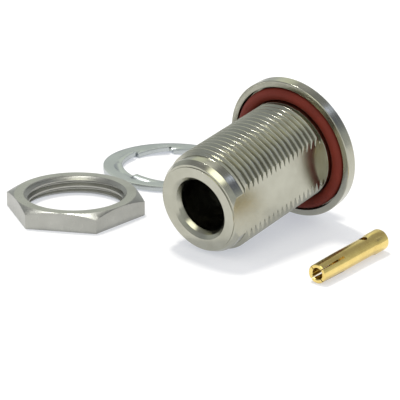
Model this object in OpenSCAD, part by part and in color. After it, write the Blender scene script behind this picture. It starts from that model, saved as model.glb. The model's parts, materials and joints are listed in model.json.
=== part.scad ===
// Bulkhead coaxial jack for semi-rigid cable, laid out as a kit of loose pieces.
// Millimetres, +Z up. The origin is on the surface the kit lies on, under the
// middle of the kit. The jack lies on its flange rim and its first thread. The
// threads are drawn as rings of the thread's own form and pitch.

/* [Barrel] */
// Length from the sealing face of the flange to the open end
barrel_l = 21.86; // [18:0.01:30]
// Outside diameter of the thread
thread_d = 15.875; // [15:0.005:17]
// Thread pitch
thread_pitch = 1.058; // [0.8:0.001:1.4]
// Angle between the two flanks of the thread
thread_angle = 60; // [50:1:62]
// Length of the plain end ahead of the thread, with the nose
plain_l = 2.6; // [2:0.05:4]
// Diameter of the plain end
plain_d = 14.7; // [14:0.05:14.9]
// Length of the chamfer that leads on to the thread
lead_l = 0.35; // [0.2:0.05:0.6]
// Size over the flat, from the flat to the far side of the thread
flat_h = 14.56; // [13.6:0.01:15]
// Full round length between the flange and the end wall of the flat
hub_l = 0.69; // [0.4:0.01:2]
// Turn of the flat about the barrel
flat_turn = 87.9; // [0:0.1:360]

/* [Nose] */
// Diameter of the end face
rim_d = 13.12; // [12:0.02:13.4]
// Height of the end face above the shoulder
rim_l = 0.2; // [0.1:0.05:0.5]
// Diameter of the shoulder behind the end face
shoulder_d = 13.76; // [13.5:0.02:13.9]
// Length of the cone behind the shoulder
cone_l = 0.83; // [0.5:0.01:1.2]

/* [Mating bore] */
// Diameter of the bore that takes the mating contact ring
bore_d = 8.12; // [7.5:0.01:9]
// Depth of that bore to its reference shoulder
bore_l = 9.1; // [8:0.05:11]
// Diameter of the mouth at the end face
mouth_d = 10; // [9.6:0.05:11]
// Diameter where the mouth turns into its lead-in
mouth_mid_d = 8.9; // [8.4:0.05:9.4]
// Depth where the mouth turns into its lead-in
mouth_mid_l = 0.5; // [0.3:0.05:0.7]
// Depth where the lead-in meets the bore
mouth_l = 1.2; // [0.9:0.05:1.6]
// Diameter of the inner bore that holds the insulator
inner_d = 7; // [6.4:0.05:7.3]

/* [Flange] */
// Flange diameter
flange_d = 22.35; // [21.6:0.05:26]
// Thickness of the flange at its rim
rim_t = 1.66; // [1.5:0.01:3]
// Height of the chamfer behind the rim
back_chamfer = 0.55; // [0.2:0.05:0.7]
// Edge break on the front of the rim
edge_break = 0.1; // [0.05:0.01:0.15]
// Depth of the groove for the sealing ring
groove_depth = 1.4; // [1.2:0.05:1.45]

/* [Cable end] */
// Diameter of the boss that the cable is soldered in
boss_d = 6.5; // [5.8:0.05:9]
// Length of the boss behind the flange
boss_l = 4.5; // [3:0.1:7]
// Chamfer at the end of the boss
boss_chamfer = 0.3; // [0.1:0.05:0.5]
// Outside diameter of the semi-rigid cable
cable_d = 3.58; // [3.4:0.01:3.8]
// Radial gap for solder around the cable
solder_gap = 0.06; // [0.04:0.01:0.1]

/* [Sealing ring] */
// Section diameter of the sealing ring
ring_section = 1.95; // [1.8:0.01:2]
// Radial gap between the sealing ring and the hub
ring_hub_gap = 0.06; // [0.02:0.01:0.1]
// Radial gap between the sealing ring and the groove wall
ring_wall_gap = 0.24; // [0.1:0.01:0.3]
// Gap between the sealing ring and the groove floor
ring_seat_gap = 0.01; // [0:0.01:0.05]

/* [Insulator] */
// Distance from the reference shoulder back to the insulator
insulator_set = 5.1; // [3:0.1:5.6]
// Length of the insulator
insulator_l = 6; // [4:0.1:8]
// Radial gap between the insulator and its bore
insulator_gap = 0.01; // [0:0.01:0.03]
// Length of the wide end of the hole through the insulator
insulator_step_l = 2.5; // [1.5:0.1:3.5]
// Radial gap between the contact and the insulator
contact_gap = 0.01; // [0.01:0.01:0.04]
// Edge chamfer on the insulator
insulator_chamfer = 0.2; // [0.1:0.05:0.4]

/* [Centre contact] */
// Length of the contact
contact_l = 16.85; // [14:0.01:20]
// Diameter of the contact between its slots and its collar
socket_d = 3.04; // [2.8:0.01:3.2]
// Diameter at the tip, where the fingers are closed in
tip_d = 2.84; // [2.7:0.01:2.9]
// Diameter of the collar at the solder end
contact_collar_d = 3.3; // [3.26:0.01:3.44]
// Length of the collar
contact_collar_l = 2.9; // [2:0.05:3.6]
// Length of the cone that leads up to the collar
collar_cone_l = 0.7; // [0.3:0.05:1]
// Diameter of the hole that takes the mating pin
socket_bore_d = 1.66; // [1.5:0.01:1.8]
// Depth of the hole that takes the mating pin
socket_bore_l = 7; // [5.8:0.05:8]
// Number of slots in the socket end, in crossing pairs
slot_pairs = 2; // [1:1:3]
// Slot width at its inner end
slot_w = 0.36; // [0.2:0.01:0.5]
// Slot width at the tip
slot_tip_w = 0.12; // [0.06:0.01:0.2]
// Slot length
slot_l = 5.4; // [4.5:0.05:5.6]
// Turn of the slots about the contact
slot_turn = 43.5; // [0:0.5:90]
// Edge chamfer at the tip
tip_chamfer = 0.09; // [0.05:0.01:0.15]
// Edge chamfer at the solder end
solder_chamfer = 0.5; // [0.2:0.05:0.5]
// Diameter of the solder hole in the side
solder_hole_d = 1.25; // [0.8:0.05:1.5]
// Distance from the tip to the middle of the solder hole
solder_hole_l = 12.2; // [9:0.05:13]
// Turn of the solder hole about the contact
solder_hole_turn = 7; // [0:1:360]
// Diameter of the hole for the cable's centre wire
wire_hole_d = 0.96; // [0.9:0.01:1.1]

/* [Hex nut] */
// Size across the flats
nut_af = 19; // [18.6:0.05:24]
// Thickness
nut_t = 2.92; // [2.4:0.01:5]
// Angle of the chamfer on the corners of the top face
nut_chamfer_angle = 25; // [15:1:35]
// Distance the corner chamfer comes in from the flats
nut_chamfer_in = 0.05; // [0.02:0.01:0.3]
// Radial play in the nut thread
nut_play = 0.05; // [0.02:0.01:0.15]

/* [Lock washer] */
// Outside diameter of the washer
washer_d = 22; // [20:0.05:25]
// Washer thickness
washer_t = 0.8; // [0.5:0.05:1.2]
// Radial depth of the teeth
tooth_depth = 0.75; // [0.4:0.05:1]
// Number of teeth
teeth = 8; // [6:1:12]
// Width of the slot between two teeth
tooth_slot = 0.75; // [0.4:0.05:1]
// Twist of each tooth about its own radius
tooth_twist = 5.5; // [3:0.1:8]
// Distance the middle of each tooth is set up by the twist
tooth_rise = 0.13; // [0.05:0.01:0.2]
// Turn of the teeth about the washer
tooth_turn = 0; // [0:0.5:45]
// Radial gap between the tooth tips and the thread
washer_gap = 0.06; // [0.03:0.01:0.2]

/* [Layout] */
// Flange centre, left to right
jack_x = 14.6; // [10:0.01:30]
// Flange centre, front to back
jack_y = -2.34; // [-5:0.01:5]
// Heading of the open end of the barrel
jack_turn = -129.67; // [-135:0.01:-125]
// Nut centre, left to right
nut_x = -18.13; // [-40:0.01:-17.5]
// Nut centre, front to back
nut_y = -0.21; // [-4:0.01:4]
// Turn of the nut
nut_turn = -10.16; // [-30:0.01:30]
// Washer centre, left to right
washer_x = -3.71; // [-6:0.01:-3.5]
// Washer centre, front to back
washer_y = 19.04; // [18.5:0.01:30]
// Contact tip, left to right
contact_x = 17.78; // [16:0.01:40]
// Contact tip, front to back
contact_y = -29.25; // [-45:0.01:-27]
// Heading of the contact from tip to solder end
contact_turn = 53.07; // [40:0.01:60]

/* [Hidden] */
$fn = 96;
cut = 1;

thread_r = thread_d / 2;
flange_r = flange_d / 2;
flange_t = rim_t + back_chamfer;

// The sealing ring lies round the hub, and the groove is cut to take it.
ring_r = thread_r + ring_hub_gap + ring_section / 2;
groove_r = ring_r + ring_section / 2 + ring_wall_gap;

// The cable hole starts where the insulator ends.
cable_hole_r = cable_d / 2 + solder_gap;
insulator_front = barrel_l - bore_l - insulator_set;
insulator_back = insulator_front - insulator_l;

// The jack leans forward on its rim and on the first turn of its thread.
thread_front = barrel_l - plain_l - lead_l;
jack_lean = atan((flange_r - thread_r) / (thread_front + edge_break));
jack_z = flange_r * cos(jack_lean) - edge_break * sin(jack_lean);

// The rings of the thread, counted back from the lead-in.
crest_w = thread_pitch / 8;
thread_depth = 0.6134 * thread_pitch;
flank_l = thread_depth * tan(thread_angle / 2);
root_w = thread_pitch - crest_w - 2 * flank_l;
root_r = thread_r - thread_depth;
turns = floor((thread_front - hub_l) / thread_pitch);

// The contact lies on the front edge of its collar and on its fingers, at the
// tip or at the inner end of the slots.
tip_r = tip_d / 2;
socket_r = socket_d / 2;
collar_r = contact_collar_d / 2;
collar_start = contact_l - contact_collar_l;
contact_lean = min(
    atan((collar_r - tip_r) / (collar_start - tip_chamfer)),
    atan((collar_r - socket_r) / (collar_start - slot_l))
);
contact_z = collar_r * cos(contact_lean) - collar_start * sin(contact_lean);

// The nut thread is cut for the barrel thread.
nut_hole_r = thread_r - 0.54127 * thread_pitch + nut_play;
nut_mouth_r = thread_r + nut_play;
nut_flank_l = (nut_mouth_r - nut_hole_r) * tan(thread_angle / 2);
nut_turns = floor(nut_t / thread_pitch);

// The washer goes over the barrel thread and rests on the low ends of its teeth.
tooth_tip_r = thread_r + washer_gap;
tooth_root_r = tooth_tip_r + tooth_depth;
tooth_step = 360 / teeth;
tooth_apex = tooth_slot / 2 / sin(tooth_step / 2);
tooth_base_r = tooth_root_r + tooth_depth / 10;
tooth_along = sqrt(pow(tooth_base_r, 2) - pow(tooth_slot / 2, 2));
tooth_half = tooth_along * sin(tooth_step / 2) - tooth_slot / 2 * cos(tooth_step / 2);

// Section of the thread as [radius, height over the sealing face].
thread_section = [
    for (i = [0 : turns - 1])
        let (z = thread_front - (turns - i) * thread_pitch)
            each [
                [thread_r, z],
                [root_r, z + flank_l],
                [root_r, z + flank_l + root_w],
                [thread_r, z + 2 * flank_l + root_w],
            ]
];

// Turned outside of the jack, from the cable boss up to the thread.
rear_outside = [
    [cable_hole_r, -flange_t - boss_l],
    [boss_d / 2 - boss_chamfer, -flange_t - boss_l],
    [boss_d / 2, -flange_t - boss_l + boss_chamfer],
    [boss_d / 2, -flange_t],
    [flange_r - back_chamfer, -flange_t],
    [flange_r, -rim_t],
    [flange_r, -edge_break],
    [flange_r - edge_break, 0],
    [groove_r, 0],
    [groove_r, -groove_depth],
    [thread_r, -groove_depth],
];

// Turned outside of the jack, from the lead-in of the thread to the open end.
front_outside = [
    [thread_r, thread_front],
    [plain_d / 2, barrel_l - plain_l],
    [plain_d / 2, barrel_l - rim_l - cone_l],
    [shoulder_d / 2, barrel_l - rim_l],
    [rim_d / 2, barrel_l - rim_l],
    [rim_d / 2, barrel_l],
];

// Bored inside of the jack, from the open end back to the cable hole.
inside = [
    [mouth_d / 2, barrel_l],
    [mouth_mid_d / 2, barrel_l - mouth_mid_l],
    [bore_d / 2, barrel_l - mouth_l],
    [bore_d / 2, barrel_l - bore_l],
    [inner_d / 2, barrel_l - bore_l],
    [inner_d / 2, insulator_back],
    [cable_hole_r, insulator_back],
];

// Stands a piece drawn along +Z on its own axis in the lying jack.
module in_jack() {
    translate([jack_x, jack_y, jack_z])
        rotate([0, 90 + jack_lean, jack_turn])
            children();
}

module flat_cut() {
    rotate(flat_turn)
        translate([flat_h - thread_r, -thread_r - cut, hub_l])
            cube([thread_d, thread_d + 2 * cut, barrel_l]);
}

module connector_body() {
    color([0.68, 0.67, 0.60])
        in_jack()
            difference() {
                rotate_extrude()
                    polygon(concat(rear_outside, thread_section, front_outside, inside));
                flat_cut();
            }
}

module sealing_ring() {
    color([0.43, 0.14, 0.11])
        in_jack()
            translate([0, 0, ring_section / 2 - groove_depth + ring_seat_gap])
                rotate_extrude()
                    translate([ring_r, 0])
                        circle(d = ring_section);
}

module insulator() {
    r = inner_d / 2 - insulator_gap;
    color([0.93, 0.93, 0.90])
        in_jack()
            rotate_extrude()
                polygon([
                    [socket_r + contact_gap, insulator_front],
                    [r - insulator_chamfer, insulator_front],
                    [r, insulator_front - insulator_chamfer],
                    [r, insulator_back + insulator_gap + insulator_chamfer],
                    [r - insulator_chamfer, insulator_back + insulator_gap],
                    [collar_r + contact_gap, insulator_back + insulator_gap],
                    [collar_r + contact_gap, insulator_back + insulator_step_l],
                    [socket_r + contact_gap, insulator_back + insulator_step_l],
                ]);
}

// Saw cuts right across the socket, narrowed at the tip where it is closed in.
module contact_slots() {
    for (i = [0 : slot_pairs - 1])
        rotate([90, 0, slot_turn + i * 180 / slot_pairs])
            translate([0, 0, -socket_d])
                linear_extrude(2 * socket_d)
                    polygon([
                        [-slot_tip_w / 2, -cut],
                        [slot_tip_w / 2, -cut],
                        [slot_tip_w / 2, 0],
                        [slot_w / 2, slot_l],
                        [-slot_w / 2, slot_l],
                        [-slot_tip_w / 2, 0],
                    ]);
}

module centre_contact() {
    color([0.80, 0.68, 0.36])
        translate([contact_x, contact_y, contact_z])
            rotate([0, 90 - contact_lean, contact_turn])
                difference() {
                    rotate_extrude()
                        polygon([
                            [0, 0],
                            [tip_r - tip_chamfer, 0],
                            [tip_r, tip_chamfer],
                            [socket_r, slot_l],
                            [socket_r, collar_start - collar_cone_l],
                            [collar_r, collar_start],
                            [collar_r, contact_l - solder_chamfer],
                            [collar_r - solder_chamfer, contact_l],
                            [0, contact_l],
                        ]);
                    translate([0, 0, -cut])
                        cylinder(d = socket_bore_d, h = socket_bore_l + cut);
                    contact_slots();
                    translate([0, 0, solder_hole_l - solder_hole_d / 2])
                        cylinder(d = wire_hole_d, h = contact_l);
                    translate([0, 0, solder_hole_l])
                        rotate([0, -90, -solder_hole_turn])
                            cylinder(d = solder_hole_d, h = collar_r + cut);
                }
}

module nut_chamfer() {
    corner_r = nut_af / 2 / cos(30) + cut;
    top_r = nut_af / 2 - nut_chamfer_in;
    drop = (corner_r - top_r) * tan(nut_chamfer_angle);
    rotate_extrude()
        polygon([
            [0, -cut],
            [corner_r, -cut],
            [corner_r, nut_t - drop],
            [top_r, nut_t],
            [0, nut_t],
        ]);
}

// Rings of the nut's thread, set evenly about the middle of the nut.
module nut_thread() {
    for (i = [0 : nut_turns - 1])
        translate([0, 0, nut_t / 2 + (i - (nut_turns - 1) / 2) * thread_pitch])
            rotate_extrude()
                polygon([
                    [0, -nut_flank_l - crest_w / 2],
                    [nut_hole_r, -nut_flank_l - crest_w / 2],
                    [nut_mouth_r, -crest_w / 2],
                    [nut_mouth_r, crest_w / 2],
                    [nut_hole_r, nut_flank_l + crest_w / 2],
                    [0, nut_flank_l + crest_w / 2],
                ]);
}

module hex_nut() {
    mouth = nut_mouth_r - nut_hole_r;
    color([0.66, 0.66, 0.62])
        translate([nut_x, nut_y, 0])
            rotate(nut_turn)
                difference() {
                    intersection() {
                        cylinder(d = nut_af / cos(30), h = nut_t, $fn = 6);
                        nut_chamfer();
                    }
                    rotate_extrude()
                        polygon([
                            [0, -cut],
                            [nut_mouth_r + cut, -cut],
                            [nut_hole_r, mouth],
                            [nut_hole_r, nut_t - mouth],
                            [nut_mouth_r + cut, nut_t + cut],
                            [0, nut_t + cut],
                        ]);
                    nut_thread();
                }
}

// One tooth, a segment of the ring set over about its own radius.
module tooth() {
    reach = 2 * tooth_root_r;
    translate([0, 0, washer_t / 2 + tooth_rise])
        rotate([-tooth_twist, 0, 0])
            intersection() {
                translate([0, 0, -washer_t / 2])
                    difference() {
                        cylinder(r = tooth_base_r, h = washer_t);
                        translate([0, 0, -cut])
                            cylinder(r = tooth_tip_r, h = washer_t + 2 * cut);
                    }
                translate([tooth_apex, 0, -washer_t])
                    linear_extrude(2 * washer_t)
                        polygon([
                            [0, 0],
                            [reach, reach * tan(tooth_step / 2)],
                            [reach, -reach * tan(tooth_step / 2)],
                        ]);
            }
}

module lock_washer() {
    // How far the low end of a tooth reaches below the flat ring
    drop = tooth_half * sin(tooth_twist) - tooth_rise - washer_t / 2 * (1 - cos(tooth_twist));
    color([0.64, 0.67, 0.67])
        translate([washer_x, washer_y, drop])
            rotate(tooth_turn) {
                difference() {
                    cylinder(d = washer_d, h = washer_t);
                    translate([0, 0, -cut])
                        cylinder(r = tooth_root_r, h = washer_t + 2 * cut);
                }
                for (i = [0 : teeth - 1])
                    rotate((i + 0.5) * tooth_step)
                        tooth();
            }
}

connector_body();
sealing_ring();
insulator();
centre_contact();
hex_nut();
lock_washer();
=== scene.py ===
"""Looks of a bulkhead coaxial jack for semi-rigid cable, laid out as a kit of loose pieces."""

import json
import logging
import math
from dataclasses import dataclass, field
from enum import Enum
from typing import Callable, Sequence

import bmesh
import bpy
from mathutils import Matrix, Vector


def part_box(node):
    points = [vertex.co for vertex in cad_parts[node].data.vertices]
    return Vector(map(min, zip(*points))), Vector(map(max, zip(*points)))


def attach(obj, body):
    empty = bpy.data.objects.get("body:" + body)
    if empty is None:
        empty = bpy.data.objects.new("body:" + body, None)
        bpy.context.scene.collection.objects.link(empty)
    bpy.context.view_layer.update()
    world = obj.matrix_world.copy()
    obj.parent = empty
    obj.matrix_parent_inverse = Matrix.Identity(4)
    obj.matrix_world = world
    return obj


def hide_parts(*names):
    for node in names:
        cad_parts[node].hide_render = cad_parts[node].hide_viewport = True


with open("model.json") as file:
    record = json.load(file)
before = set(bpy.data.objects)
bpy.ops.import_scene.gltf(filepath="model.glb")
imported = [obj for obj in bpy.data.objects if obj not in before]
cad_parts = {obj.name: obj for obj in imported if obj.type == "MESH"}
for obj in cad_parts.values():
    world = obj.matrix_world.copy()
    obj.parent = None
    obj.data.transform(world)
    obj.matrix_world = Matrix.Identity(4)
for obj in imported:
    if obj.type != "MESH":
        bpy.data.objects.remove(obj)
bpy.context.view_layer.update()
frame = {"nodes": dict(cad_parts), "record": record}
log = logging.getLogger("kit")
MM = 0.001
Point = tuple[float, float]


class BooleanKind(Enum):
    """How one solid works on another."""

    UNION = "UNION"
    CUT = "DIFFERENCE"
    KEEP = "INTERSECT"


class Slot(Enum):
    """The record's material slots."""

    NICKEL = "nickel"
    RUBBER = "rubber"
    PTFE = "ptfe"
    GOLD = "gold"
    NUT = "nut_metal"
    WASHER = "washer_metal"


# ---------------------------------------------------------------- mesh tools


def new_object(name: str, mesh: bpy.types.Mesh) -> bpy.types.Object:
    """Links a mesh to the scene as an object.

    Args:
        name: Name of the object.
        mesh: Its mesh, in metres.

    Returns:
        The new object.
    """
    piece = bpy.data.objects.new(name, mesh)
    bpy.context.scene.collection.objects.link(piece)
    return piece


def mesh_from(name: str, points: Sequence[Sequence[float]], faces: Sequence[Sequence[int]]) -> bpy.types.Mesh:
    """Makes a closed mesh with doubles merged and normals outward.

    Args:
        name: Name of the mesh.
        points: Points in metres.
        faces: Faces as point indices.

    Returns:
        The new mesh.
    """
    mesh = bpy.data.meshes.new(name)
    mesh.from_pydata([tuple(p) for p in points], [], [tuple(f) for f in faces])
    tidy_mesh(mesh)
    return mesh


def tidy_mesh(mesh: bpy.types.Mesh, merge: float = 1e-7) -> None:
    """Merges doubles and turns the faces outward.

    Args:
        mesh: The mesh to mend.
        merge: Distance in metres under which points are one.
    """
    shape = bmesh.new()
    shape.from_mesh(mesh)
    bmesh.ops.remove_doubles(shape, verts=shape.verts, dist=merge)
    bmesh.ops.recalc_face_normals(shape, faces=shape.faces)
    shape.to_mesh(mesh)
    shape.free()


def filleted(profile: Sequence[Point], radius: float, steps: int = 3) -> list[Point]:
    """Rounds every corner of a closed outline.

    Args:
        profile: The outline's corners in order.
        radius: Fillet radius, less where a side is short.
        steps: Points on each fillet, less one.

    Returns:
        The rounded outline.
    """
    rounded: list[Point] = []
    for i, (x, y) in enumerate(profile):
        corner = Vector((x, y))
        before = Vector(profile[i - 1]) - corner
        after = Vector(profile[(i + 1) % len(profile)]) - corner
        angle = before.angle(after)
        if math.pi - angle < 0.05:
            rounded.append((x, y))
            continue
        reach = min(radius / math.tan(angle / 2), before.length * 0.45, after.length * 0.45)
        start, end = corner + before.normalized() * reach, corner + after.normalized() * reach
        for k in range(steps + 1):
            t = k / steps
            bent = start * (1 - t) ** 2 + corner * 2 * t * (1 - t) + end * t**2
            rounded.append((bent.x, bent.y))
    return rounded


def revolved(name: str, profile: Sequence[Point], segments: int = 160) -> bpy.types.Mesh:
    """Turns a closed outline of (radius, height) round the Z axis.

    Args:
        name: Name of the mesh.
        profile: Closed outline in millimetres; points on the axis are merged.
        segments: Steps round the axis.

    Returns:
        The closed mesh in metres.
    """
    points, faces, count = [], [], len(profile)
    for k in range(segments):
        turn = math.tau * k / segments
        for radius, height in profile:
            points.append((radius * MM * math.cos(turn), radius * MM * math.sin(turn), height * MM))
    for k in range(segments):
        ahead = (k + 1) % segments
        for j in range(count):
            beside = (j + 1) % count
            quad = [k * count + j, k * count + beside, ahead * count + beside, ahead * count + j]
            if profile[j][0] < 1e-9:
                quad.pop(3)
            if profile[beside][0] < 1e-9:
                quad.pop(2 if len(quad) > 3 else 1)
            if len(quad) > 2:
                faces.append(quad)
    return mesh_from(name, points, faces)


def block(name: str, low: Sequence[float], high: Sequence[float]) -> bpy.types.Mesh:
    """Makes a rectangular cutter from two corners in millimetres."""
    points = [(x * MM, y * MM, z * MM) for x in (low[0], high[0]) for y in (low[1], high[1]) for z in (low[2], high[2])]
    faces = [(0, 1, 3, 2), (4, 6, 7, 5), (0, 4, 5, 1), (2, 3, 7, 6), (0, 2, 6, 4), (1, 5, 7, 3)]
    return mesh_from(name, points, faces)


def wedge(name: str, reach: float, half: Sequence[Point]) -> bpy.types.Mesh:
    """Makes a cutter that is mirrored about its middle plane.

    Args:
        name: Name of the mesh.
        reach: How far it runs to both sides along X, in millimetres.
        half: Points of (half width, height) from its lower end to its upper end.

    Returns:
        The closed mesh in metres.
    """
    ring = list(half) + [(-w, z) for w, z in reversed(half)]
    count = len(ring)
    points = [(x * MM, w * MM, z * MM) for x in (-reach, reach) for w, z in ring]
    sides = [(k, (k + 1) % count, (k + 1) % count + count, k + count) for k in range(count)]
    return mesh_from(name, points, sides + [tuple(range(count)), tuple(range(count, 2 * count))])


def settled(piece: bpy.types.Object) -> bpy.types.Object:
    """Turns an object's modifiers into plain mesh and removes them."""
    graph = bpy.context.evaluated_depsgraph_get()
    mesh = bpy.data.meshes.new_from_object(piece.evaluated_get(graph))
    piece.modifiers.clear()
    piece.data = mesh
    return piece


def boolean(piece: bpy.types.Object, tool: bpy.types.Object, kind: BooleanKind) -> bpy.types.Object:
    """Joins, cuts or trims a piece with a tool, and deletes the tool.

    Args:
        piece: The solid that is kept.
        tool: The solid that works on it.
        kind: What the tool does.

    Returns:
        The piece, with a plain mesh.
    """
    step = piece.modifiers.new("shape", "BOOLEAN")
    step.operation = kind.value
    step.solver = "MANIFOLD"
    step.object = tool
    settled(piece)
    bpy.data.objects.remove(tool)
    return piece


def softened(piece: bpy.types.Object, width: float, angle: float = 25.0) -> bpy.types.Object:
    """Breaks a piece's sharp edges.

    Args:
        piece: The solid.
        width: Width of the edge break in millimetres.
        angle: Least turn between two faces that counts as an edge, in degrees.

    Returns:
        The piece, with a plain mesh.
    """
    step = piece.modifiers.new("edges", "BEVEL")
    step.width = width * MM
    step.segments = 2
    step.limit_method = "ANGLE"
    step.angle_limit = math.radians(angle)
    step.use_clamp_overlap = True
    return settled(piece)


def shaded(piece: bpy.types.Object, angle: float = 30.0) -> bpy.types.Object:
    """Shades a piece smooth, with its edges kept crisp and its wide faces flat."""
    mesh = piece.data
    mesh.polygons.foreach_set("use_smooth", [True] * len(mesh.polygons))
    mesh.set_sharp_from_angle(angle=math.radians(angle))
    step = piece.modifiers.new("normals", "WEIGHTED_NORMAL")
    step.keep_sharp = True
    step.weight = 100
    return settled(piece)


def dressed(piece: bpy.types.Object, node: str, slot: Slot, material: bpy.types.Material) -> bpy.types.Object:
    """Gives a finished piece its material and its place in the frame.

    Args:
        piece: The finished piece, with its place in its mesh.
        node: The CAD node that it stands for.
        slot: Its slot in the record.
        material: Its finish.

    Returns:
        The piece.
    """
    piece.data.materials.clear()
    piece.data.materials.append(material)
    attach(piece, "root")
    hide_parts(node)
    log.info("%s: %d faces, %s", piece.name, len(piece.data.polygons), slot.value)
    return piece


# ------------------------------------------------------------ geometry nodes


def add_node(tree: bpy.types.NodeTree, kind: str, **values: object) -> bpy.types.Node:
    """Adds a node and sets its properties.

    Args:
        tree: The node tree.
        kind: The node's type.
        **values: Properties of the node.

    Returns:
        The new node.
    """
    node = tree.nodes.new(kind)
    for key, value in values.items():
        setattr(node, key, value)
    return node


def add_input(tree: bpy.types.NodeTree, name: str, kind: str, value: float | None = None) -> None:
    """Adds a named input socket, with its first value, to a node group."""
    socket = tree.interface.new_socket(name=name, in_out="INPUT", socket_type=kind)
    if value is not None:
        socket.default_value = value


def run_nodes(name: str, tree: bpy.types.NodeTree, values: dict[str, object]) -> bpy.types.Object:
    """Runs a geometry node tree and keeps its result as a plain mesh.

    Args:
        name: Name of the new object.
        tree: The tree.
        values: Inputs by name.

    Returns:
        The new object, without its modifier.
    """
    piece = new_object(name, bpy.data.meshes.new(name))
    step = piece.modifiers.new("nodes", "NODES")
    step.node_group = tree
    for item in tree.interface.items_tree:
        if item.item_type == "SOCKET" and item.in_out == "INPUT" and item.name in values:
            step[item.identifier] = values[item.name]
    piece.update_tag()
    settled(piece)
    piece.name = name
    tidy_mesh(piece.data)
    return piece


def thread_tree() -> bpy.types.NodeTree:
    """Builds the tree that sweeps one thread ridge up a helix.

    Returns:
        A tree with the thread's radii, pitch, turns and widths as inputs.
    """
    tree = bpy.data.node_groups.new("thread_ridge", "GeometryNodeTree")
    for name, kind, value in (
        ("Crest Radius", "NodeSocketFloat", 0.0079),
        ("Depth", "NodeSocketFloat", 0.0007),
        ("Pitch", "NodeSocketFloat", 0.001),
        ("Turns", "NodeSocketFloat", 18.0),
        ("Crest Width", "NodeSocketFloat", 0.0002),
        ("Base Width", "NodeSocketFloat", 0.001),
        ("Rounding", "NodeSocketFloat", 0.00006),
        ("Start Height", "NodeSocketFloat", 0.0),
        ("Steps", "NodeSocketInt", 120),
        ("Finish", "NodeSocketMaterial", None),
    ):
        add_input(tree, name, kind, value)
    tree.interface.new_socket(name="Ridge", in_out="OUTPUT", socket_type="NodeSocketGeometry")
    sizes = add_node(tree, "NodeGroupInput")
    half_depth = add_node(tree, "ShaderNodeMath", operation="MULTIPLY")
    half_depth.inputs[1].default_value = 0.5
    middle = add_node(tree, "ShaderNodeMath", operation="SUBTRACT")
    rise = add_node(tree, "ShaderNodeMath", operation="MULTIPLY")
    helix = add_node(tree, "GeometryNodeCurveSpiral")
    upright = add_node(tree, "GeometryNodeSetCurveNormal", mode="Z_UP")
    section = add_node(tree, "GeometryNodeCurvePrimitiveQuadrilateral", mode="TRAPEZOID")
    section.inputs["Offset"].default_value = 0.0
    rounded = add_node(tree, "GeometryNodeFilletCurve", mode="POLY")
    rounded.inputs["Count"].default_value = 3
    turned = add_node(tree, "GeometryNodeTransform")
    turned.inputs["Rotation"].default_value = (0.0, 0.0, math.pi / 2)
    sweep = add_node(tree, "GeometryNodeCurveToMesh")
    sweep.inputs["Fill Caps"].default_value = True
    lift = add_node(tree, "ShaderNodeCombineXYZ")
    raised = add_node(tree, "GeometryNodeTransform")
    real = add_node(tree, "GeometryNodeRealizeInstances")
    finish = add_node(tree, "GeometryNodeSetMaterial")
    out = add_node(tree, "NodeGroupOutput")
    wire = tree.links.new
    wire(sizes.outputs["Depth"], half_depth.inputs[0])
    wire(sizes.outputs["Crest Radius"], middle.inputs[0])
    wire(half_depth.outputs[0], middle.inputs[1])
    wire(sizes.outputs["Pitch"], rise.inputs[0])
    wire(sizes.outputs["Turns"], rise.inputs[1])
    wire(sizes.outputs["Steps"], helix.inputs["Resolution"])
    wire(sizes.outputs["Turns"], helix.inputs["Rotations"])
    wire(middle.outputs[0], helix.inputs["Start Radius"])
    wire(middle.outputs[0], helix.inputs["End Radius"])
    wire(rise.outputs[0], helix.inputs["Height"])
    wire(helix.outputs[0], upright.inputs[0])
    wire(sizes.outputs["Depth"], section.inputs["Height"])
    wire(sizes.outputs["Base Width"], section.inputs["Bottom Width"])
    wire(sizes.outputs["Crest Width"], section.inputs["Top Width"])
    wire(section.outputs[0], rounded.inputs[0])
    wire(sizes.outputs["Rounding"], rounded.inputs["Radius"])
    wire(rounded.outputs[0], turned.inputs[0])
    wire(upright.outputs[0], sweep.inputs["Curve"])
    wire(turned.outputs[0], sweep.inputs["Profile Curve"])
    wire(sweep.outputs[0], raised.inputs[0])
    wire(sizes.outputs["Start Height"], lift.inputs[2])
    wire(lift.outputs[0], raised.inputs["Translation"])
    wire(raised.outputs[0], real.inputs[0])
    wire(real.outputs[0], finish.inputs[0])
    wire(sizes.outputs["Finish"], finish.inputs["Material"])
    wire(finish.outputs[0], out.inputs[0])
    return tree


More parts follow.
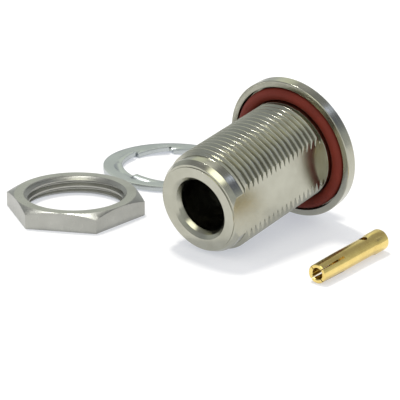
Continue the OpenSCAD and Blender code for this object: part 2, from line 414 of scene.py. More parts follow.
def tooth_ring_tree() -> bpy.types.NodeTree:
    """Builds the tree that sets one segment out in a ring.

    Returns:
        A tree with the segment and the count as inputs.
    """
    tree = bpy.data.node_groups.new("tooth_ring", "GeometryNodeTree")
    add_input(tree, "Segment", "NodeSocketObject")
    add_input(tree, "Count", "NodeSocketInt", 8)
    add_input(tree, "First Turn", "NodeSocketFloat", 0.0)
    add_input(tree, "Merge", "NodeSocketFloat", 0.000002)
    add_input(tree, "Finish", "NodeSocketMaterial")
    tree.interface.new_socket(name="Ring", in_out="OUTPUT", socket_type="NodeSocketGeometry")
    sizes = add_node(tree, "NodeGroupInput")
    stack = add_node(tree, "GeometryNodeMeshLine")
    stack.inputs["Offset"].default_value = (0.0, 0.0, 0.0)
    step = add_node(tree, "ShaderNodeMath", operation="DIVIDE")
    step.inputs[0].default_value = math.tau
    index = add_node(tree, "GeometryNodeInputIndex")
    turn = add_node(tree, "ShaderNodeMath", operation="MULTIPLY_ADD")
    about = add_node(tree, "ShaderNodeCombineXYZ")
    source = add_node(tree, "GeometryNodeObjectInfo")
    spread = add_node(tree, "GeometryNodeInstanceOnPoints")
    real = add_node(tree, "GeometryNodeRealizeInstances")
    merge = add_node(tree, "GeometryNodeMergeByDistance")
    finish = add_node(tree, "GeometryNodeSetMaterial")
    out = add_node(tree, "NodeGroupOutput")
    wire = tree.links.new
    wire(sizes.outputs["Count"], stack.inputs["Count"])
    wire(sizes.outputs["Count"], step.inputs[1])
    wire(index.outputs[0], turn.inputs[0])
    wire(step.outputs[0], turn.inputs[1])
    wire(sizes.outputs["First Turn"], turn.inputs[2])
    wire(turn.outputs[0], about.inputs[2])
    wire(sizes.outputs["Segment"], source.inputs[0])
    wire(stack.outputs[0], spread.inputs["Points"])
    wire(source.outputs["Geometry"], spread.inputs["Instance"])
    wire(about.outputs[0], spread.inputs["Rotation"])
    wire(spread.outputs[0], real.inputs[0])
    wire(real.outputs[0], merge.inputs[0])
    wire(sizes.outputs["Merge"], merge.inputs["Distance"])
    wire(merge.outputs[0], finish.inputs[0])
    wire(sizes.outputs["Finish"], finish.inputs["Material"])
    wire(finish.outputs[0], out.inputs[0])
    return tree


# ------------------------------------------------------------------ finishes


def marks_group() -> bpy.types.NodeTree:
    """Builds the shader group of tool marks that run round an axis.

    Returns:
        A group with a vector about the axis and the lines' scale as inputs.
    """
    tree = bpy.data.node_groups.new("tool_marks", "ShaderNodeTree")
    add_input(tree, "Vector", "NodeSocketVector")
    add_input(tree, "Lines", "NodeSocketFloat", 9000.0)
    add_input(tree, "Cloud", "NodeSocketFloat", 350.0)
    tree.interface.new_socket(name="Height", in_out="OUTPUT", socket_type="NodeSocketFloat")
    tree.interface.new_socket(name="Tone", in_out="OUTPUT", socket_type="NodeSocketFloat")
    tree.interface.new_socket(name="Radius", in_out="OUTPUT", socket_type="NodeSocketFloat")
    tree.interface.new_socket(name="Along", in_out="OUTPUT", socket_type="NodeSocketFloat")
    sizes = add_node(tree, "NodeGroupInput")
    split = add_node(tree, "ShaderNodeSeparateXYZ")
    flat = add_node(tree, "ShaderNodeCombineXYZ")
    radius = add_node(tree, "ShaderNodeVectorMath", operation="LENGTH")
    across = add_node(tree, "ShaderNodeCombineXYZ")
    fine = add_node(tree, "ShaderNodeVectorMath", operation="SCALE")
    lines = add_node(tree, "ShaderNodeTexNoise")
    lines.inputs["Scale"].default_value = 1.0
    lines.inputs["Detail"].default_value = 2.0
    cloud = add_node(tree, "ShaderNodeTexNoise")
    cloud.inputs["Detail"].default_value = 3.0
    out = add_node(tree, "NodeGroupOutput")
    wire = tree.links.new
    wire(sizes.outputs["Vector"], split.inputs[0])
    wire(split.outputs["X"], flat.inputs["X"])
    wire(split.outputs["Y"], flat.inputs["Y"])
    wire(flat.outputs[0], radius.inputs[0])
    wire(radius.outputs["Value"], across.inputs["X"])
    wire(split.outputs["Z"], across.inputs["Y"])
    wire(across.outputs[0], fine.inputs[0])
    wire(sizes.outputs["Lines"], fine.inputs["Scale"])
    wire(fine.outputs[0], lines.inputs["Vector"])
    wire(sizes.outputs["Vector"], cloud.inputs["Vector"])
    wire(sizes.outputs["Cloud"], cloud.inputs["Scale"])
    wire(lines.outputs[0], out.inputs["Height"])
    wire(cloud.outputs[0], out.inputs["Tone"])
    wire(radius.outputs["Value"], out.inputs["Radius"])
    wire(split.outputs["Z"], out.inputs["Along"])
    return tree


def grain_group() -> bpy.types.NodeTree:
    """Builds the shader group of fine grain, drawn out one way or even.

    Returns:
        A group with a vector, the grain's scale and its stretch as inputs.
    """
    tree = bpy.data.node_groups.new("fine_grain", "ShaderNodeTree")
    add_input(tree, "Vector", "NodeSocketVector")
    add_input(tree, "Grain", "NodeSocketFloat", 6000.0)
    add_input(tree, "Stretch", "NodeSocketFloat", 1.0)
    tree.interface.new_socket(name="Height", in_out="OUTPUT", socket_type="NodeSocketFloat")
    tree.interface.new_socket(name="Tone", in_out="OUTPUT", socket_type="NodeSocketFloat")
    sizes = add_node(tree, "NodeGroupInput")
    shrink = add_node(tree, "ShaderNodeCombineXYZ")
    shrink.inputs["X"].default_value = 1.0
    shrink.inputs["Y"].default_value = 1.0
    drawn = add_node(tree, "ShaderNodeVectorMath", operation="MULTIPLY")
    grain = add_node(tree, "ShaderNodeTexNoise")
    grain.inputs["Detail"].default_value = 3.0
    patch = add_node(tree, "ShaderNodeTexNoise")
    patch.inputs["Scale"].default_value = 260.0
    patch.inputs["Detail"].default_value = 4.0
    out = add_node(tree, "NodeGroupOutput")
    wire = tree.links.new
    wire(sizes.outputs["Stretch"], shrink.inputs["Z"])
    wire(sizes.outputs["Vector"], drawn.inputs[0])
    wire(shrink.outputs[0], drawn.inputs[1])
    wire(drawn.outputs[0], grain.inputs["Vector"])
    wire(sizes.outputs["Grain"], grain.inputs["Scale"])
    wire(sizes.outputs["Vector"], patch.inputs["Vector"])
    wire(grain.outputs[0], out.inputs["Height"])
    wire(patch.outputs[0], out.inputs["Tone"])
    return tree


@dataclass(frozen=True)
class Finish:
    """A finish whose colour, roughness and relief vary over the surface."""

    name: str
    light: tuple[float, float, float]
    dark: tuple[float, float, float]
    rough: tuple[float, float]
    metallic: float
    relief: float
    group: str
    first: float
    second: float
    ior: float = 1.5
    # Radius and front height of a bore whose colour gets painted shade, darker further in; bore_shade sets how dark.
    bore: tuple[float, float] | None = None
    bore_shade: float = 0.3

    def painted_bore_shade(self, tree: bpy.types.NodeTree, marks: bpy.types.Node, colour: bpy.types.NodeSocket) -> bpy.types.NodeSocket:
        """Darkens the colour inside a bore, more deeply further in, as painted shade in the recess.

        Args:
            tree: The material's node tree.
            marks: The tool marks, which know the radius and the height.
            colour: The colour outside the bore.

        Returns:
            The colour with painted shade inside the bore.
        """
        radius, front = self.bore
        inside = add_node(tree, "ShaderNodeMapRange")
        inside.inputs["From Min"].default_value = (radius + 0.05) * MM
        inside.inputs["From Max"].default_value = (radius - 0.05) * MM
        deep = add_node(tree, "ShaderNodeMapRange", interpolation_type="SMOOTHSTEP")
        deep.inputs["From Min"].default_value = front * MM
        deep.inputs["From Max"].default_value = (front - 0.8) * MM
        both = add_node(tree, "ShaderNodeMath", operation="MULTIPLY")
        shade = add_node(tree, "ShaderNodeMix", data_type="RGBA", blend_type="MULTIPLY")
        shade.inputs[7].default_value = (self.bore_shade, self.bore_shade, self.bore_shade, 1)
        tree.links.new(marks.outputs["Radius"], inside.inputs["Value"])
        tree.links.new(marks.outputs["Along"], deep.inputs["Value"])
        tree.links.new(inside.outputs[0], both.inputs[0])
        tree.links.new(deep.outputs[0], both.inputs[1])
        tree.links.new(both.outputs[0], shade.inputs[0])
        tree.links.new(colour, shade.inputs[6])
        return shade.outputs[2]

    def build(self, place: Matrix) -> bpy.types.Material:
        """Builds the material.

        Args:
            place: Where the piece's own axis stands in the row frame.

        Returns:
            The material.
        """
        material = bpy.data.materials.new(self.name)
        material.use_nodes = True
        tree = material.node_tree
        tree.nodes.clear()
        wire = tree.links.new
        where = add_node(tree, "ShaderNodeTexCoord")
        turn = add_node(tree, "ShaderNodeMapping")
        inverse = place.inverted()
        turn.inputs["Location"].default_value = inverse.to_translation()
        turn.inputs["Rotation"].default_value = inverse.to_euler("XYZ")
        marks = add_node(tree, "ShaderNodeGroup", node_tree=bpy.data.node_groups[self.group])
        marks.inputs[1].default_value = self.first
        marks.inputs[2].default_value = self.second
        tone = add_node(tree, "ShaderNodeMapRange")
        tone.inputs["From Min"].default_value = 0.3
        tone.inputs["From Max"].default_value = 0.7
        colour = add_node(tree, "ShaderNodeMix", data_type="RGBA")
        colour.inputs[6].default_value = (*self.light, 1.0)
        colour.inputs[7].default_value = (*self.dark, 1.0)
        rough = add_node(tree, "ShaderNodeMapRange")
        rough.inputs["From Min"].default_value = 0.3
        rough.inputs["From Max"].default_value = 0.7
        rough.inputs["To Min"].default_value = self.rough[0]
        rough.inputs["To Max"].default_value = self.rough[1]
        bump = add_node(tree, "ShaderNodeBump")
        bump.inputs["Strength"].default_value = self.relief
        bump.inputs["Distance"].default_value = 0.00002
        shader = add_node(tree, "ShaderNodeBsdfPrincipled")
        shader.inputs["Metallic"].default_value = self.metallic
        shader.inputs["IOR"].default_value = self.ior
        out = add_node(tree, "ShaderNodeOutputMaterial")
        wire(where.outputs["Object"], turn.inputs["Vector"])
        wire(turn.outputs[0], marks.inputs["Vector"])
        wire(marks.outputs["Tone"], tone.inputs["Value"])
        wire(tone.outputs[0], colour.inputs[0])
        # Painted shade darkens the colour inside the bore.
        base = self.painted_bore_shade(tree, marks, colour.outputs[2]) if self.bore else colour.outputs[2]
        wire(base, shader.inputs["Base Color"])
        wire(marks.outputs["Height"], rough.inputs["Value"])
        wire(rough.outputs[0], shader.inputs["Roughness"])
        wire(marks.outputs["Height"], bump.inputs["Height"])
        wire(bump.outputs[0], shader.inputs["Normal"])
        wire(shader.outputs[0], out.inputs["Surface"])
        return material


# The turned nickel gets painted shade inside its bore, down to 0.45 of its colour.
NICKEL = Finish(
    "turned_nickel", (0.47, 0.465, 0.39), (0.40, 0.395, 0.325), (0.17, 0.27), 1.0, 0.25, "tool_marks", 9000.0, 350.0,
    bore=(4.2, 21.1), bore_shade=0.45,
)
NUT_NICKEL = Finish("nut_nickel", (0.43, 0.43, 0.395), (0.36, 0.36, 0.33), (0.26, 0.38), 1.0, 0.35, "fine_grain", 5000.0, 0.15)
WASHER_NICKEL = Finish("washer_nickel", (0.47, 0.50, 0.50), (0.42, 0.45, 0.45), (0.26, 0.38), 1.0, 0.35, "fine_grain", 5000.0, 1.0)
GOLD = Finish("gold_plate", (0.86, 0.68, 0.25), (0.76, 0.57, 0.19), (0.16, 0.26), 1.0, 0.25, "tool_marks", 9000.0, 500.0)
RED_RUBBER = Finish("red_rubber", (0.20, 0.024, 0.011), (0.15, 0.018, 0.009), (0.55, 0.68), 0.0, 0.3, "fine_grain", 3500.0, 1.0, 1.36)
WHITE_PTFE = Finish("white_ptfe", (0.80, 0.80, 0.77), (0.74, 0.74, 0.71), (0.45, 0.6), 0.0, 0.3, "tool_marks", 7000.0, 300.0, 1.38)


# -------------------------------------------------------------------- pieces


def axis_place(origin: Vector, along: Vector) -> Matrix:
    """Gives the matrix that stands a piece drawn along +Z on a line.

    Args:
        origin: Where the piece's own origin goes, in metres.
        along: Direction of the piece's axis.

    Returns:
        The matrix, with the piece's Y axis level.
    """
    z = along.normalized()
    y = Vector((0, 0, 1)).cross(z).normalized() if abs(z.z) < 0.999 else Vector((0, 1, 0))
    x = y.cross(z)
    return Matrix.Translation(origin) @ Matrix((x, y, z)).transposed().to_4x4()


@dataclass
class Jack:
    """The turned body: threaded barrel with its flat, nose, flange and cable boss."""

    place: Matrix
    length: float = 21.86
    thread_r: float = 7.9375
    root_r: float = 7.288
    pitch: float = 1.0583
    crest: float = 0.16
    plain_l: float = 2.6
    plain_r: float = 7.35
    lead_l: float = 0.35
    hub_l: float = 0.69
    flat_at: float = 6.6225
    flat_turn: float = 87.9
    rim_r: float = 6.56
    rim_l: float = 0.2
    shoulder_r: float = 6.88
    cone_l: float = 0.83
    mouth: tuple[Point, ...] = ((5.0, 0.0), (4.45, 0.5), (4.06, 1.2))
    bore_l: float = 9.1
    inner_r: float = 3.5
    seat: float = 1.66
    cable_r: float = 1.85
    flange_r: float = 11.175
    rim_t: float = 1.66
    back: float = 0.55
    edge: float = 0.1
    groove_r: float = 10.1875
    groove_l: float = 1.4
    boss_r: float = 3.25
    boss_l: float = 4.5
    boss_edge: float = 0.3

    def outline(self) -> list[Point]:
        """Gives the turned section as (radius, height over the sealing face)."""
        back, end, front = -self.rim_t - self.back, -self.rim_t - self.back - self.boss_l, self.length
        outside = [
            (self.cable_r, end),
            (self.boss_r - self.boss_edge, end),
            (self.boss_r, end + self.boss_edge),
            (self.boss_r, back),
            (self.flange_r - self.back, back),
            (self.flange_r, -self.rim_t),
            (self.flange_r, -self.edge),
            (self.flange_r - self.edge, 0.0),
            (self.groove_r, 0.0),
            (self.groove_r, -self.groove_l),
            (self.thread_r, -self.groove_l),
            (self.thread_r, self.hub_l),
            (self.root_r, self.hub_l + 0.0),
            (self.root_r, front - self.plain_l - 0.15),
            (self.plain_r, front - self.plain_l - 0.05),
            (self.plain_r, front - self.rim_l - self.cone_l),
            (self.shoulder_r, front - self.rim_l),
            (self.rim_r, front - self.rim_l),
            (self.rim_r, front),
        ]
        inside = [(r, front - d) for r, d in self.mouth]
        inside += [
            (self.mouth[-1][0], front - self.bore_l),
            (self.inner_r, front - self.bore_l),
            (self.inner_r, self.seat),
            (self.cable_r, self.seat),
        ]
        return outside + inside

    def thread(self, tree: bpy.types.NodeTree) -> bpy.types.Object:
        """Makes the thread's ridge, trimmed to its lead-in and its run-out.

        Args:
            tree: The thread tree.

        Returns:
            The ridge as a closed solid.
        """
        front = self.length - self.plain_l
        turns = (front - self.hub_l) / self.pitch + 1.5
        depth = self.thread_r - self.root_r + 0.1
        base = self.crest + 2 * depth * math.tan(math.radians(30))
        ridge = run_nodes("thread", tree, {
            "Crest Radius": self.thread_r * MM, "Depth": depth * MM, "Pitch": self.pitch * MM, "Turns": turns,
            "Crest Width": self.crest * MM, "Base Width": min(base, self.pitch * 0.96) * MM,
            "Start Height": (self.hub_l - self.pitch) * MM, "Steps": 144,
        })
        low, r = self.hub_l - 0.3, self.thread_r + 0.5
        lead = self.thread_r - self.plain_r
        trim = [(0.0, low), (r, low), (r, front - self.lead_l - (r - self.thread_r) * self.lead_l / lead)]
        trim = [(0.0, low), (r, low), (r, front - self.lead_l), (self.thread_r, front - self.lead_l), (self.plain_r, front), (0.0, front)]
        return boolean(ridge, new_object("trim", revolved("trim", trim, 96)), BooleanKind.KEEP)

    def build(self, tree: bpy.types.NodeTree) -> bpy.types.Object:
        """Builds the body in the row frame.

        Args:
            tree: The thread tree.

        Returns:
            The finished piece.
        """
        body = new_object("jack_body", revolved("jack_body", filleted(self.outline(), 0.05), 192))
        boolean(body, self.thread(tree), BooleanKind.UNION)
        wide = self.thread_r + 1
        cutter = new_object("flat", block("flat", (self.flat_at, -wide, self.hub_l), (wide + 1, wide, self.length + 1)))
        cutter.data.transform(Matrix.Rotation(math.radians(self.flat_turn), 4, "Z"))
        boolean(body, cutter, BooleanKind.CUT)
        body.data.transform(self.place)
        return shaded(body)


@dataclass
class SealingRing:
    """The rubber ring in the flange's groove."""

    place: Matrix
    radius: float = 8.9725
    section: float = 0.97
    height: float = -0.415

    def build(self) -> bpy.types.Object:
        """Builds the ring in the row frame."""
        section = [
            (self.radius + self.section * math.cos(math.tau * k / 32), self.height + self.section * math.sin(math.tau * k / 32))
            for k in range(32)
        ]
        ring = new_object("ring_seal", revolved("ring_seal", section, 160))
        ring.data.transform(self.place)
        return shaded(ring, 60)


@dataclass
class CentreContact:
    """The slotted socket contact with its collar and solder hole."""

    place: Matrix
    length: float = 16.85
    tip_r: float = 1.42
    body_r: float = 1.52
    collar_r: float = 1.65
    collar_l: float = 2.9
    cone_l: float = 0.7
    socket_r: float = 0.83
    socket_l: float = 7.0
    slot_w: float = 0.36
    slot_tip_w: float = 0.12
    slot_l: float = 5.4
    slot_turn: float = 43.5
    hole_r: float = 0.625
    hole_l: float = 12.2
    hole_turn: float = 7.0
    wire_r: float = 0.48
    end_chamfer: float = 0.5

    def build(self) -> bpy.types.Object:
        """Builds the contact in the row frame."""
        neck = self.length - self.collar_l
        outside = [
            (self.socket_r + 0.12, 0.0), (self.tip_r - 0.09, 0.0), (self.tip_r, 0.09),
            (self.body_r, self.slot_l), (self.body_r, neck - self.cone_l), (self.collar_r, neck), (self.collar_r, self.length - self.end_chamfer),
            (self.collar_r - self.end_chamfer, self.length), (self.wire_r, self.length),
            (self.wire_r, self.hole_l - self.hole_r), (0.0, self.hole_l - self.hole_r),
            (0.0, self.socket_l), (self.socket_r, self.socket_l - 0.3), (self.socket_r, 0.12),
        ]
        piece = new_object("contact", revolved("contact", outside, 96))
        for turn in (0.0, 90.0):
            wide, thin = self.slot_w / 2, self.slot_tip_w / 2
            saw = new_object("saw", wedge("saw", 2, [(thin, -1), (thin, 0), (wide, self.slot_l)]))
            saw.data.transform(Matrix.Rotation(math.radians(self.slot_turn + turn), 4, "Z"))
            boolean(piece, saw, BooleanKind.CUT)
        drill = new_object("drill", revolved("drill", [(0, 0), (self.hole_r, 0), (self.hole_r, 3), (0, 3)], 48))
        aim = Matrix.Rotation(math.radians(-self.hole_turn), 4, "Z") @ Matrix.Rotation(math.radians(-90), 4, "Y")
        drill.data.transform(Matrix.Translation((0, 0, self.hole_l * MM)) @ aim)
        boolean(piece, drill, BooleanKind.CUT)
        softened(piece, 0.03, 35)
        piece.data.transform(self.place)
        return shaded(piece)


@dataclass
class HexNut:
    """The thin panel nut with its thread."""

    place: Matrix
    flats: float = 19.0
    thick: float = 2.92
    chamfer_angle: float = 25.0
    chamfer_in: float = 0.05
    minor_r: float = 7.415
    major_r: float = 7.99
    pitch: float = 1.0583
    turn: float = -10.16

    def build(self, tree: bpy.types.NodeTree) -> bpy.types.Object:
        """Builds the nut in the row frame.

        Args:
            tree: The thread tree.

        Returns:
            The finished piece.
        """
        corner, top = self.flats / 2 / math.cos(math.pi / 6) + 1, self.flats / 2 - self.chamfer_in
        drop = (corner - top) * math.tan(math.radians(self.chamfer_angle))
        points = []
        for z in (0.0, self.thick):
            points += [
                ((corner - 1) * MM * math.cos(math.tau * k / 6), (corner - 1) * MM * math.sin(math.tau * k / 6), z * MM)
                for k in range(6)
            ]
        sides = [(k, (k + 1) % 6, (k + 1) % 6 + 6, k + 6) for k in range(6)]
        nut = new_object("panel_nut", mesh_from("panel_nut", points, sides + [tuple(range(6)), tuple(range(6, 12))]))
        dome = [(0.0, -1.0), (corner, -1.0), (corner, self.thick - drop), (top, self.thick), (0.0, self.thick)]
        boolean(nut, new_object("dome", revolved("dome", dome, 180)), BooleanKind.KEEP)
        softened(nut, 0.05, 18)
        sink = self.major_r - self.minor_r
        hole = [
            (0.0, -1.0), (self.major_r + 1, -1.0), (self.minor_r, sink), (self.minor_r, self.thick - sink),
            (self.major_r + 1, self.thick + 1), (0.0, self.thick + 1),
        ]
        boolean(nut, new_object("hole", revolved("hole", hole, 144)), BooleanKind.CUT)
        depth = self.major_r - self.minor_r + 0.1
        tap = run_nodes("tap", tree, {
            "Crest Radius": self.major_r * MM, "Depth": depth * MM, "Pitch": self.pitch * MM,
            "Turns": self.thick / self.pitch + 2, "Crest Width": 0.16 * MM,
            "Base Width": (0.16 + 2 * depth * math.tan(math.radians(30))) * MM,
            "Start Height": -self.pitch * MM, "Steps": 144,
        })
        boolean(nut, tap, BooleanKind.CUT)
        nut.data.transform(self.place @ Matrix.Rotation(math.radians(self.turn), 4, "Z"))
        return shaded(nut)


@dataclass
class LockWasher:
    """The flat washer with its ring of twisted inner teeth."""

    place: Matrix
    outer_r: float = 11.0
    thick: float = 0.8
    tip_r: float = 7.9975
    root_r: float = 8.7475
    slot: float = 0.75
    teeth: int = 8
    twist: float = 5.5
    rise: float = 0.13
    across: int = 16

    def height(self, radius: float, along: float) -> float:
        """Gives how far a twisted tooth stands over the flat ring.

        Args:
            radius: Distance from the washer's axis.
            along: Distance from the tooth's middle.

        Returns:
            The height in millimetres.
        """
        t = min(max((self.root_r + 0.25 - radius) / 0.45, 0.0), 1.0)
        bend = t * t * (3 - 2 * t)
        return bend * (self.rise - math.tan(math.radians(self.twist)) * along)

    def segment(self) -> bpy.types.Object:
        """Makes one tooth with its share of the ring, as an open plate."""
        half = math.pi / self.teeth
        radii = [self.tip_r, self.tip_r + 0.2, self.tip_r + 0.4, self.tip_r + 0.6, self.root_r, self.root_r + 0.12, self.root_r + 0.25]
        radii += [self.root_r + 0.6, self.outer_r - 0.6, self.outer_r]
        points: list[tuple[float, float, float]] = []
        faces: list[tuple[int, ...]] = []
        count = self.across + 3
        for radius in radii:
            gap = math.asin(self.slot / 2 / radius)
            turns = [-half] + [-half + gap + (2 * half - 2 * gap) * k / self.across for k in range(self.across + 1)] + [half]
            for turn in turns:
                z = self.height(radius, radius * math.sin(turn))
                points.append((radius * math.cos(turn) * MM, radius * math.sin(turn) * MM, z * MM))
        for i, radius in enumerate(radii[:-1]):
            for j in range(count - 1):
                if radius < self.root_r - 1e-6 and j in (0, count - 2):
                    continue
                a = i * count + j
                faces.append((a, a + count, a + count + 1, a + 1))
        mesh = bpy.data.meshes.new("tooth")
        mesh.from_pydata(points, [], faces)
        return new_object("tooth", mesh)

    def build(self, tree: bpy.types.NodeTree) -> bpy.types.Object:
        """Builds the washer in the row frame.

        Args:
            tree: The tree that sets the teeth out in a ring.

        Returns:
            The finished piece.
        """
        tooth = self.segment()
        washer = run_nodes("tooth_washer", tree, {
            "Segment": tooth, "Count": self.teeth, "First Turn": math.pi / self.teeth, "Merge": 2e-6,
        })
        bpy.data.objects.remove(tooth)
        wall = washer.modifiers.new("wall", "SOLIDIFY")
        wall.thickness = self.thick * MM
        wall.offset = 1.0 if washer.data.polygons[0].normal.z > 0 else -1.0
        wall.use_even_offset = False
        settled(washer)
        tidy_mesh(washer.data)
        softened(washer, 0.05, 40)
        washer.data.transform(self.place)
        return shaded(washer)


# -------------------------------------------------------------------- studio


def heading(turn: float, rise: float) -> Vector:
    """Gives the direction at a turn from straight behind towards the right and a rise, in degrees."""
    a, e = math.radians(turn), math.radians(rise)
    return Vector((math.sin(a) * math.cos(e), math.cos(a) * math.cos(e), math.sin(e)))


def seen_directly(tree: bpy.types.NodeTree) -> bpy.types.NodeSocket:
    """Gives the mask of rays from the camera, a mirror or a clear body."""
    path = add_node(tree, "ShaderNodeLightPath")
    first = add_node(tree, "ShaderNodeMath", operation="MAXIMUM")
    second = add_node(tree, "ShaderNodeMath", operation="MAXIMUM")
    tree.links.new(path.outputs["Is Camera Ray"], first.inputs[0])
    tree.links.new(path.outputs["Is Glossy Ray"], first.inputs[1])
    tree.links.new(first.outputs[0], second.inputs[0])
    tree.links.new(path.outputs["Is Transmission Ray"], second.inputs[1])
    return second.outputs[0]


@dataclass(frozen=True)
class Patch:
    """A soft round patch on the studio's walls: heading, core and fade in degrees."""

    turn: float
    rise: float
    core: float
    fade: float
    tint: tuple[float, float, float]


@dataclass
class Studio:
    """The plain floor, the lights and the camera."""

    middle: Vector
    floor_body: tuple[float, float, float] = (0.62, 0.60, 0.55)
    floor_glow: tuple[float, float, float] = (0.40, 0.42, 0.47)
    ambient: tuple[float, float, float] = (0.72, 0.72, 0.74)
    wall_tones: tuple[tuple[float, tuple[float, float, float]], ...] = (
        (0, (0.56, 0.58, 0.58)),
        (90, (0.20, 0.20, 0.21)),
        (20, (0.60, 0.63, 0.62)),
        (35, (0.40, 0.41, 0.42)),
        (50, (0.13, 0.13, 0.15)),
    )
    patches: tuple[Patch, ...] = (
        Patch(-6, 35, 5, 12, (0.55, 0.58, 0.40)),
        Patch(77, 45, 1.5, 5, (1.0, 1.15, 1.7)),
        Patch(-10, 72, 8, 16, (1.2, 1.2, 1.1)),
        Patch(-172, 60, 8, 18, (2.6, 2.6, 2.1)),
        Patch(88, 29, 5, 12, (-0.28, -0.28, -0.22)),
        Patch(-100, 14, 8, 16, (-0.15, -0.15, -0.12)),
    )
    distance: float = 0.324706
    elevation: float = 20.032
    roll: float = 0.509
    lens: float = 185.77

    def camera(self) -> None:
        tilt, roll = math.radians(self.elevation), math.radians(self.roll)
        away = Vector((0, -math.cos(tilt), math.sin(tilt)))
        right, up = Vector((1, 0, 0)), Vector((0, math.sin(tilt), math.cos(tilt)))
        x = right * math.cos(roll) + up * math.sin(roll)
        y = up * math.cos(roll) - right * math.sin(roll)
        data = bpy.data.cameras.new("camera")
        data.lens = self.lens
        data.sensor_width = 36.0
        data.clip_start = 0.01
        eye = bpy.data.objects.new("camera", data)
        bpy.context.scene.collection.objects.link(eye)
        eye.matrix_world = Matrix.Translation(self.middle + away * self.distance) @ Matrix((x, y, away)).transposed().to_4x4()
        bpy.context.scene.camera = eye

    def softbox(self, name: str, turn: float, rise: float, reach: float, size: Point, power: float, tint: tuple[float, float, float] = (1, 1, 1)) -> None:
        """Args:
            name: Name of the light.
            rise: Height in degrees above the floor.
            reach: Distance in metres.
            size: Width and height in metres.
            power: Power in watts.
            tint: Colour of the light.
        """
        out = heading(turn, rise)
        data = bpy.data.lights.new(name, "AREA")
        data.shape = "RECTANGLE"
        data.size, data.size_y = size
        data.energy = power
        data.color = tint
        lamp = bpy.data.objects.new(name, data)
        bpy.context.scene.collection.objects.link(lamp)
        lamp.matrix_world = axis_place(self.middle + out * reach, out)

    def floor(self) -> None:
        """Lays the pale floor, which is white to the eye and in the metal and keeps the shadow."""
        size = 3.0
        mesh = bpy.data.meshes.new("floor")
        mesh.from_pydata([(-size, -size, -2e-5), (size, -size, -2e-5), (size, size, -2e-5), (-size, size, -2e-5)], [], [(0, 1, 2, 3)])
        floor = new_object("floor", mesh)
        material = bpy.data.materials.new("pale_floor")
        material.use_nodes = True
        tree = material.node_tree
        tree.nodes.clear()
        body = add_node(tree, "ShaderNodeBsdfDiffuse")
        body.inputs["Color"].default_value = (*self.floor_body, 1)
        glow = add_node(tree, "ShaderNodeEmission")
        glow.inputs["Color"].default_value = (*self.floor_glow, 1)
        both = add_node(tree, "ShaderNodeAddShader")
        plain = add_node(tree, "ShaderNodeBsdfDiffuse")
        plain.inputs["Color"].default_value = (0.8, 0.8, 0.8, 1)
        pick = add_node(tree, "ShaderNodeMixShader")
        out = add_node(tree, "ShaderNodeOutputMaterial")
        wire = tree.links.new
        wire(seen_directly(tree), pick.inputs[0])
        wire(plain.outputs[0], pick.inputs[1])
        wire(body.outputs[0], both.inputs[0])
        wire(glow.outputs[0], both.inputs[1])
        wire(both.outputs[0], pick.inputs[2])
        wire(pick.outputs[0], out.inputs[0])
        floor.data.materials.append(material)

    def walls(self, tree: bpy.types.NodeTree) -> bpy.types.NodeSocket:
        """Paints the studio's walls as the metal sees them.

        Args:
            tree: The world's node tree.

        Returns:
            The colour by direction.
        """
        where = add_node(tree, "ShaderNodeTexCoord")
        split = add_node(tree, "ShaderNodeSeparateXYZ")
        tone = add_node(tree, "ShaderNodeValToRGB")
        marks = tone.color_ramp.elements
        for k, (rise, tint) in enumerate(self.wall_tones):
            mark = marks[k] if k < 2 else marks.new(1.0)
            mark.position, mark.color = math.sin(math.radians(rise)), (*tint, 1)
        tree.links.new(where.outputs["Generated"], split.inputs[0])
        tree.links.new(split.outputs["Z"], tone.inputs[0])
        colour = tone.outputs[0]
        for patch in self.patches:
            facing = add_node(tree, "ShaderNodeVectorMath", operation="DOT_PRODUCT")
            facing.inputs[1].default_value = heading(patch.turn, patch.rise)
            spot = add_node(tree, "ShaderNodeMapRange", interpolation_type="SMOOTHSTEP")
            spot.inputs["From Min"].default_value = math.cos(math.radians(patch.core + patch.fade))
            spot.inputs["From Max"].default_value = math.cos(math.radians(patch.core))
            tint = add_node(tree, "ShaderNodeVectorMath", operation="MULTIPLY_ADD")
            tint.inputs[1].default_value = patch.tint
            tree.links.new(where.outputs["Generated"], facing.inputs[0])
            tree.links.new(facing.outputs["Value"], spot.inputs["Value"])
            tree.links.new(spot.outputs[0], tint.inputs[0])
            tree.links.new(colour, tint.inputs[2])
            colour = tint.outputs[0]
        return colour

    def surroundings(self) -> None:
        """Sets a white backdrop for the camera, painted walls for the metal and even light for the rest."""
        world = bpy.data.worlds.new("studio")
        bpy.context.scene.world = world
        world.use_nodes = True
        tree = world.node_tree
        tree.nodes.clear()
        walls = add_node(tree, "ShaderNodeBackground")
        even = add_node(tree, "ShaderNodeBackground")
        even.inputs["Color"].default_value = (*self.ambient, 1)
        white = add_node(tree, "ShaderNodeBackground")
        white.inputs["Color"].default_value = (1, 1, 1, 1)
        path = add_node(tree, "ShaderNodeLightPath")
        matte = add_node(tree, "ShaderNodeMixShader")
        pick = add_node(tree, "ShaderNodeMixShader")
        out = add_node(tree, "ShaderNodeOutputWorld")
        wire = tree.links.new
        wire(self.walls(tree), walls.inputs["Color"])
        wire(path.outputs["Is Diffuse Ray"], matte.inputs[0])
        wire(walls.outputs[0], matte.inputs[1])
        wire(even.outputs[0], matte.inputs[2])
        wire(path.outputs["Is Camera Ray"], pick.inputs[0])
        wire(matte.outputs[0], pick.inputs[1])
        wire(white.outputs[0], pick.inputs[2])
        wire(pick.outputs[0], out.inputs[0])

    def build(self) -> None:
        """Builds the studio."""
        self.camera()
        self.floor()
        self.surroundings()
        self.softbox("overhead", -30, 72, 0.9, (0.13, 0.13), 4.2)


def centre(node: str) -> Vector:
    """Gives the middle of a CAD node's box."""
    low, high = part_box(node)
    return (low + high) / 2


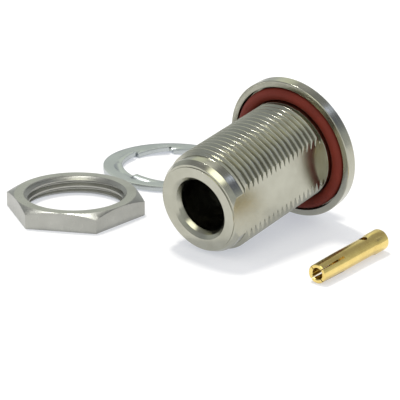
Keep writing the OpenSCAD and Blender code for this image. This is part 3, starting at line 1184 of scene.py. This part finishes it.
def jack_place() -> Matrix:
    """Gives the place of the jack from the record's mounts."""
    mounts = {m["name"]: m for m in frame["record"]["mounts"]}
    along = Vector(mounts["mating_bore"]["axis"]).normalized()
    bore, face = Vector(mounts["mating_bore"]["pos_m"]), Vector(mounts["panel_face"]["pos_m"])
    return axis_place(bore + along * (face - bore).dot(along), along)


def contact_place(tip_r: float = 1.42, edge: float = 0.09, turn: float = 53.07, lean: float = 0.871) -> Matrix:
    """Gives the place of the loose contact from its box.

    Args:
        tip_r: Radius of the tip in millimetres.
        edge: Chamfer of the tip in millimetres.
        turn: Heading of the contact in degrees.
        lean: Rise of the contact towards its collar in degrees.

    Returns:
        The matrix that lays it on the floor.
    """
    a, e = math.radians(turn), math.radians(lean)
    low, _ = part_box("centre_contact")
    x = low.x + (tip_r * math.sin(a) - edge * math.cos(a)) * MM
    y = low.y + (tip_r - edge) * math.cos(a) * MM
    z = 1.4377 * MM
    return axis_place(Vector((x, y, z)), Vector((math.cos(a) * math.cos(e), math.sin(a) * math.cos(e), math.sin(e))))


def main() -> None:
    """Builds the studio, then each piece with its finish."""
    logging.basicConfig(level=logging.INFO)
    scene = bpy.context.scene
    scene.view_settings.view_transform = "Standard"
    marks_group()
    grain_group()
    threads, ring = thread_tree(), tooth_ring_tree()
    Studio(Vector((0.00115, 0.00488, 0.0))).build()
    jack = jack_place()
    dressed(Jack(jack).build(threads), "connector_body", Slot.NICKEL, NICKEL.build(jack))
    dressed(SealingRing(jack).build(), "sealing_ring", Slot.RUBBER, RED_RUBBER.build(jack))
    insulator = frame["nodes"]["insulator"]
    insulator.data.materials.clear()
    insulator.data.materials.append(WHITE_PTFE.build(jack))
    contact = contact_place()
    dressed(CentreContact(contact).build(), "centre_contact", Slot.GOLD, GOLD.build(contact))
    nut = Matrix.Translation(Vector((centre("hex_nut").x, centre("hex_nut").y, 0)))
    dressed(HexNut(nut).build(threads), "hex_nut", Slot.NUT, NUT_NICKEL.build(nut))
    low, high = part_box("lock_washer")
    lift = 0.185 * MM
    washer = Matrix.Translation(Vector(((low.x + high.x) / 2, (low.y + high.y) / 2, lift)))
    dressed(LockWasher(washer).build(ring), "lock_washer", Slot.WASHER, WASHER_NICKEL.build(washer))


if __name__ == "__main__":
    main()
